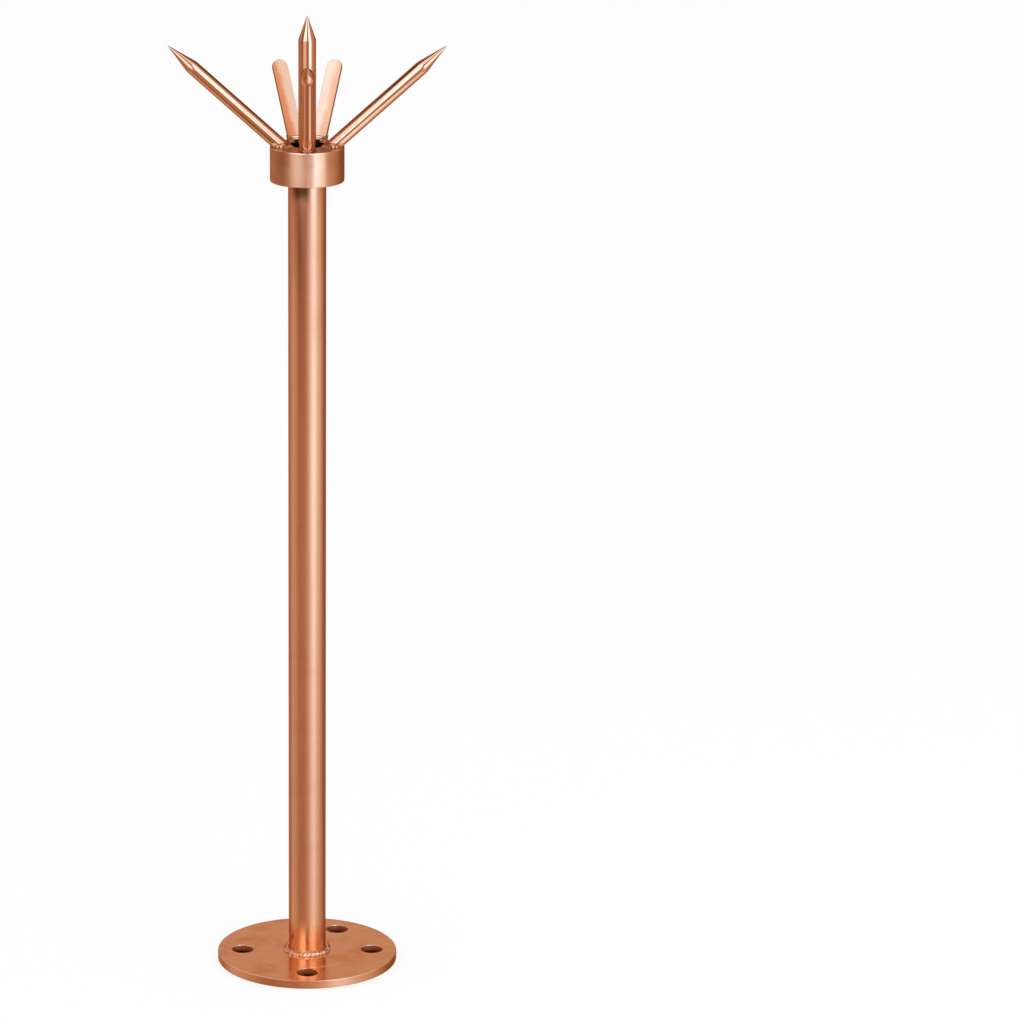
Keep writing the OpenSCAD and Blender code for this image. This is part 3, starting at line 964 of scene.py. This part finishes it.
# %% [markdown]
# ### The beads at the strips' feet
# A strip is welded along both of its broad faces. There the bead is drawn out to a ledge
# whose face falls back a little under its edge, so each starts as a bar that narrows
# downwards. Low drops along its toe and thin ones round the narrow sides make it uneven.

# %% Weld the strips to the head
def ledge_bar(leg_out, leg_up, run):
    """A bar on the ground whose outer top edge juts out over its foot."""
    bpy.ops.mesh.primitive_cube_add(size=1)
    obj = bpy.context.object
    edit(obj)
    bpy.ops.transform.resize(value=(leg_out, run, leg_up + 1))
    bpy.ops.transform.translate(value=(leg_out / 2 - 0.3, 0, leg_up / 2 - 0.5))
    pick_points(obj, lambda co: co.x > 0 and co.z > 0)
    bpy.ops.transform.translate(value=(-0.28 * leg_out, 0, 0))
    pick_points(obj, lambda co: co.x > 0 and co.z < 0)
    bpy.ops.transform.translate(value=(-0.5 * leg_out, 0, 0))
    leave_edit()
    return obj


def rectangle_stations(a, b, pitch, angle, inset, sizes):
    """Stations along a rectangle's sides on the head's top, with a size for each pair of sides."""
    corners = [(a, -b), (a, b), (-a, b), (-a, -b)]
    turned = turned_by(angle)
    base = Vector((head_r - inset, 0, HEAD_TOP))
    upward = Vector((0, 0, 1))
    found = []
    for j in range(4):
        p, q = Vector((*corners[j], 0)), Vector((*corners[(j + 1) % 4], 0))
        along = (q - p).normalized()
        out = Vector((along.y, -along.x, 0))
        size = sizes[j % 2]
        steps = max(1, round((q - p).length / pitch))
        for k in range(steps):
            place = (base + p.lerp(q, (k + 0.5) / steps) + out * (size[0] - 1) * 0.3
                     + Vector((0, 0, 0.4 * size[2])))
            found.append((turned @ place, turned @ out, turned @ along, upward, size))
    return found


strip_slant = math.radians(STRIP_RISE)
foot_half = STRIP_T / 2 / math.sin(strip_slant)
drop_sizes = ((2.6, 3.4, 1.0), (STRIP_BEAD_SIDE, 1.4, 2.2))
for side, angle in STRIPS.items():
    bars = []
    for facing, lean_sign in ((0, 1), (180, -1)):
        bar = ledge_bar(STRIP_BEAD_OUT, STRIP_BEAD_UP * math.sin(strip_slant), STRIP_W + 0.6)
        slope = Matrix.Identity(4)
        slope[0][2] = lean_sign / math.tan(strip_slant)
        bar.data.transform(on_land(angle, STRIP_INSET) @ turned_by(facing)
                           @ moved_by(foot_half, 0, 0) @ Matrix.Scale(MM, 4) @ slope)
        bars.append(bar)
    stations = rectangle_stations(foot_half, STRIP_W / 2, 2.6, angle, STRIP_INSET, drop_sizes)
    bead = lay_bead("weld_strip_" + side, stations, voxel=0.2, tilt=6, smooth=3, extra=bars)
    trim_to_land(bead)
    finish_bead(bead, side + "_strip_weld", ledge_shade_and_highlights)

# %% [markdown]
# ## Light and surroundings
# Metal shows what is round it, so the surroundings are built as a photographer would build
# them: a pale tent with dark gaps, soft boxes at the front left and right that draw the
# white streaks, a ceiling with a gap in its middle, and two light bands on the ground. They
# are painted on the sky, where only reflections see them. The camera itself sees plain white.
#
# The cards are laid as plain levels of brightness first. One ramp then gives every level
# its colour: dark gaps are warm, as they show copper in copper, and the soft boxes are cool.

# %% Build the sky
world = bpy.data.worlds.new("studio")
bpy.context.scene.world = world
sky = Tree(world)
sky.nodes.clear()

direction = sky.add("TexCoord").outputs["Generated"]
towards = sky.add("SeparateXYZ", {"Vector": direction}).outputs
flat = sky.vector("NORMALIZE", sky.vector("MULTIPLY", direction, LEVEL))


def card(behind, azimuth, half_width, low, high, level, soft, soft_up):
    """Lay a soft-edged card over what is behind it. Azimuth 0 is the camera's side, + is right."""
    a = math.radians(azimuth)
    facing = sky.vector("DOT_PRODUCT", flat, (math.sin(a), -math.cos(a), 0))
    outer, inner = min(180, half_width + soft), max(0, half_width - soft)
    mask = sky.step(facing, math.cos(math.radians(outer)), math.cos(math.radians(inner)))
    for edge, sign in ((low, 1), (high, -1)):
        if edge is not None:
            ends = [max(-90, min(90, edge + s * soft_up)) for s in (-sign, sign)]
            rises = sky.step(towards["Z"], *[math.sin(math.radians(end)) for end in ends])
            mask = sky.product(mask, rises)
    return sky.mix(mask, behind, level)


BAND_MIDDLE, BAND_SPREAD, BAND_END_SOFT = 1.17, 0.5, 0.04


def floor_band(behind, middle, half_width, below, level, soft):
    """Lay a light band on the ground beside the rod that spreads outwards towards the front."""
    line = sky.maths("MULTIPLY_ADD", towards["Y"], -BAND_SPREAD * middle, BAND_MIDDLE * middle)
    away = sky.maths("ABSOLUTE", sky.maths("SUBTRACT", towards["X"], line))
    mask = sky.product(
        sky.step(away, half_width + soft, half_width - soft),
        sky.step(towards["Z"], below + BAND_END_SOFT, below - BAND_END_SOFT))
    return sky.mix(mask, behind, level)


# From straight down to straight up: the ground, the tent's wall, and its ceiling
seen = sky.ramp(sky.maths("MULTIPLY_ADD", towards["Z"], 0.5, 0.5), [
    (at, (level,) * 3) for at, level in (
        (0.0, 0.46), (0.20, 0.46), (0.34, 0.50), (0.42, 0.47), (0.50, 0.50), (0.60, 0.60),
        (0.68, 0.69), (0.80, 0.88), (0.92, 1.2), (1.0, 1.3))])
# Each card: azimuth, half width, low, high, level, softness of its sides and of its ends
for values in (
    # Gaps in the tent
    (140, 20, -30, 34, 0.32, 16, 8),
    (-74, 15, -30, 34, 0.36, 8, 8),
    (-108, 38, 24, 76, 0.14, 12, 8),
    (108, 38, 24, 76, 0.14, 12, 8),
    # Low at the back, which the side lips of the bolt holes show
    (156, 14, -5, 9, 0.12, 8, 4),
    (-156, 14, -5, 9, 0.12, 8, 4),
    # Pale wall below the right box
    (42, 30, -62, -22, 0.72, 14, 8),
    # Left: a wide dim box, its bright core, and the sheet above that the right strip shows
    (-31, 20, -20, 60, 0.9, 8, 6),
    (-28, 17, -2, 42, 1.8, 6, 6),
    (-12, 8, 0, 20, 1.6, 4, 5),
    (-46, 10, 24, 46, 1.35, 6, 5),
    (-56, 14, 36, 60, 1.25, 6, 4),
    # Right: a wide shoulder, the bright core, and the sheet above that the left strip shows
    (66, 32, -24, 60, 0.62, 18, 6),
    (40, 15, -20, 46, 1.65, 7, 6),
    (23, 11, -2, 27, 1.6, 4, 4),
    (56, 14, 37, 60, 1.0, 6, 4),
    # The gap between the two boxes
    (3, 5, 14, 46, 0.2, 4, 4),
    # The ceiling and the gap in it
    (5, 62, 60, None, 1.8, 20, 6),
    (0, 180, 73, None, 0.3, 6, 2),
):
    seen = card(seen, *values)
# Each band: middle, half width, height of its end, level, softness
for values in ((-0.31, 0.06, -0.78, 0.74, 0.06), (0.33, 0.08, -0.74, 1.25, 0.07)):
    seen = floor_band(seen, *values)

TINTS = (
    (0.0, (0.0, 0.0, 0.0)), (0.06, (0.067, 0.033, 0.014)), (0.3, (0.3, 0.172, 0.1)),
    (0.5, (0.5, 0.335, 0.24)), (0.6, (0.6, 0.46, 0.36)), (0.9, (0.9, 0.95, 0.96)),
    (1.15, (1.15, 1.55, 1.95)), (1.5, (1.5, 2.3, 3.1)), (1.8, (1.8, 2.9, 4.2)),
)
TOP_LEVEL = TINTS[-1][0]


def tint(tree, level):
    """The colour of each level of brightness: dark gaps are warm and soft boxes are cool."""
    return tree.ramp(tree.maths("DIVIDE", level, TOP_LEVEL),
                     [(at / TOP_LEVEL, colour) for at, colour in TINTS])


rays = sky.add("LightPath").outputs
reflected = sky.add("Background", {"Color": tint(sky, seen)}).outputs[0]
plain = sky.add("Background", {"Color": (1, 1, 1), "Strength": 0.8}).outputs[0]
direct = sky.add("Background", {"Color": (0.985,) * 3}).outputs[0]
mirrored = sky.maths("MAXIMUM", rays["Is Glossy Ray"], rays["Is Transmission Ray"])
first = sky.add("MixShader", {"Fac": mirrored, 1: plain, 2: reflected}).outputs[0]
second = sky.add("MixShader", {"Fac": rays["Is Camera Ray"], 1: first, 2: direct}).outputs[0]
sky.add("OutputWorld")
sky.surface(second, "World Output")
print("sky nodes:", len(sky.nodes))

# %% [markdown]
# ### A screen round the mast
# The mast shows darker and broader bands than the head, though both are upright and round.
# So in the studio something stood low round it: a curved screen that the mast mirrors and
# the head, which is higher, doesn't. Only reflections see it, and its front is left out
# of second reflections, so that the mast's foot still shows the boxes by way of the flange.

# %% Set up the curved screen
SCREEN_R, SCREEN_LOW, SCREEN_HIGH, SCREEN_STEPS = 0.3, -0.2, 0.749, 64
SCREEN_BANDS = ((-116, 0.58), (-95, 0.70), (-64, 0.58), (-48, 0.44), (-12, 0.49), (2, 0.64),
                (14, 0.84), (30, 1.25), (46, 1.25), (62, 0.95), (84, 0.78), (104, 0.52),
                (114, 0.38))
SCREEN_FROM, SCREEN_TO = SCREEN_BANDS[0][0], SCREEN_BANDS[-1][0]
HUNG_DARKER, FADE_DARKER = 0.3, 0.2
DEEPER_LEVEL, OPEN_FRONT = 0.82, 56

screen = draw_section("screen", [(SCREEN_R, SCREEN_LOW), (SCREEN_R, SCREEN_HIGH)])
spin(screen, SCREEN_STEPS, math.radians(SCREEN_TO) - math.radians(SCREEN_FROM))
# The spin runs clockwise, so the section starts at the arc's right end
screen.data.transform(turned_by(SCREEN_TO - 90))
turns = [math.degrees(math.atan2(v.co.x, -v.co.y)) for v in screen.data.vertices]
print("screen from", round(min(turns)), "to", round(max(turns)), "degrees")
for ray in ("camera", "diffuse", "shadow"):
    setattr(screen, "visible_" + ray, False)
screen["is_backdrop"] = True

cloth, tree = bare_material("screen")


def even(value, low, high):
    """An even slope from 0 at low to 1 at high."""
    return tree.step(value, low, high, kind="LINEAR")


place = tree.add("TexCoord").outputs["Object"]
spot = tree.add("SeparateXYZ", {"Vector": place}).outputs
azimuth = tree.maths("DEGREES", tree.maths("ARCTAN2", spot["X"], tree.product(spot["Y"], -1.0)))
width = SCREEN_TO - SCREEN_FROM
bands = tree.ramp(even(azimuth, SCREEN_FROM, SCREEN_TO), [
    ((turned - SCREEN_FROM) / width, (level,) * 3) for turned, level in SCREEN_BANDS])
# A dark cloth hangs over the top of the dim part at the left
hung = tree.product(even(spot["Z"], 0.48, 0.68), even(azimuth, -66, -48), even(azimuth, 0, -18))
# and the bright part at the right fades towards the ground
fades = tree.product(even(spot["Z"], 0.45, -0.08), even(azimuth, -5, 15))
level = tree.product(bands, tree.maths("MULTIPLY_ADD", hung, -HUNG_DARKER, 1.0),
                     tree.maths("MULTIPLY_ADD", fades, -FADE_DARKER, 1.0))
# What the flange shows of the mast is evenly lit at its sides, and open to the boxes in front
depth = tree.add("LightPath").outputs["Glossy Depth"]
deeper = tree.maths("GREATER_THAN", depth, 1.5)
in_front = tree.maths("LESS_THAN", tree.maths("ABSOLUTE", azimuth), OPEN_FRONT)
level = tree.mix(deeper, level, DEEPER_LEVEL)
glow = tree.add("Emission", {"Color": tint(tree, level)}).outputs[0]
through = tree.add("BsdfTransparent").outputs[0]
opened = tree.product(deeper, in_front)
tree.surface(tree.add("MixShader", {"Fac": opened, 1: glow, 2: through}).outputs[0])
screen.data.materials.append(cloth)
print("screen from", SCREEN_LOW, "to", SCREEN_HIGH, "m")

# %% [markdown]
# ## The floor and the lamp
# The floor is a wide sheet of white paper. It glows almost to white by itself and takes the
# last part from the lamp, so it keeps the rod's soft shadow. A dark disc lies under the
# flange, because the bolt holes look down into its shadow.

# %% Lay the floor and hang the lamp
FLOOR_SIZE, FLOOR_Z, FLOOR_GLOW, FLOOR_GREY = 30, -0.0003, 0.80, 0.22
DISC_SHARE, DISC_Z, DISC_COLOUR = 0.9, -0.0001, (0.2, 0.075, 0.035)
LAMP_PLACE, LAMP_AIM, LAMP_SIZE, LAMP_POWER = (1.2, -1.6, 2.6), (0, 0, 0.4), 1.2, 12

bpy.ops.mesh.primitive_plane_add(size=FLOOR_SIZE, location=(0, 0, FLOOR_Z))
floor = bpy.context.object
floor.name = "floor"
floor.visible_glossy = False
floor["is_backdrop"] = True
paper, tree = bare_material("paper")
glow = tree.add("Emission", {"Strength": FLOOR_GLOW}).outputs[0]
matte = tree.add("BsdfDiffuse", {"Color": (FLOOR_GREY,) * 3}).outputs[0]
tree.surface(tree.add("AddShader", {0: glow, 1: matte}).outputs[0])
floor.data.materials.append(paper)

bpy.ops.mesh.primitive_circle_add(vertices=128, radius=DISC_SHARE * FLANGE_D / 2 * MM,
                                  fill_type="NGON", location=(0, 0, DISC_Z))
shadow = bpy.context.object
shadow.name = "shadow_under_flange"
shadow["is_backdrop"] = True
dark = bpy.data.materials.new("shadow")
tree = Tree(dark)
matte = tree.nodes["Principled BSDF"].inputs
tree.feed(matte["Base Color"], DISC_COLOUR)
tree.feed(matte["Specular IOR Level"], 0.0)
shadow.data.materials.append(dark)

bpy.ops.object.light_add(type="AREA", location=LAMP_PLACE)
lamp = bpy.context.object
lamp.name = "lamp"
lamp.data.shape = "DISK"
lamp.data.size = LAMP_SIZE
lamp.data.energy = LAMP_POWER
lamp.visible_glossy = False
aim = Vector(LAMP_AIM) - lamp.location
lamp.rotation_euler = aim.to_track_quat("-Z", "Y").to_euler()

# %% Write down the visual box and finish
low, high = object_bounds()
print("visual box in mm:", [round(c * 1000, 1) for c in (*low, *high)])
